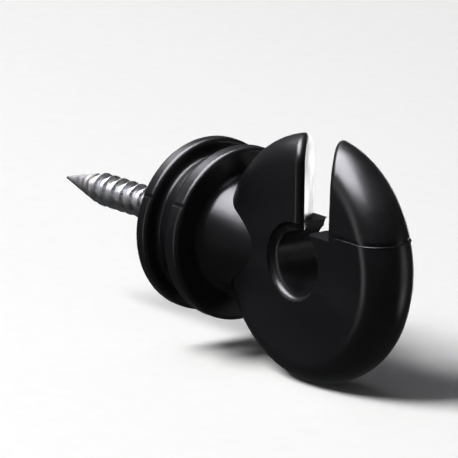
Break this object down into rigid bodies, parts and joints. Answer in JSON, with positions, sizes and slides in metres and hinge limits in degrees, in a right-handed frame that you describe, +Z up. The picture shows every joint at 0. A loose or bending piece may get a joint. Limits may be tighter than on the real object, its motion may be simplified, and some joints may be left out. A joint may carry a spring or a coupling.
{
  "type": "screw-in ring insulator",
  "caption": "Screw-in ring insulator for a wooden fence post: a grooved drum, a thick ring with a wire hole and an oblique slot, and a moulded-in wood screw.",
  "frame": {"origin": "on the screw's axis, in the drum's rear face that seats against the post", "axes": "+Y along the screw, into the post; the nose points to -Y; the fence wire runs along X; +Z is up, and the slot opens at the top of the ring"},
  "size_m": [0.0312, 0.0943, 0.0435],
  "materials": {
    "black_plastic": "glossy moulded black plastic, UV-stabilised",
    "zinc_plated_steel": "bright zinc-plated steel"
  },
  "bodies": {
    "root": {"insulator_body": "black_plastic", "wood_screw": "zinc_plated_steel"}
  },
  "joints": []
}
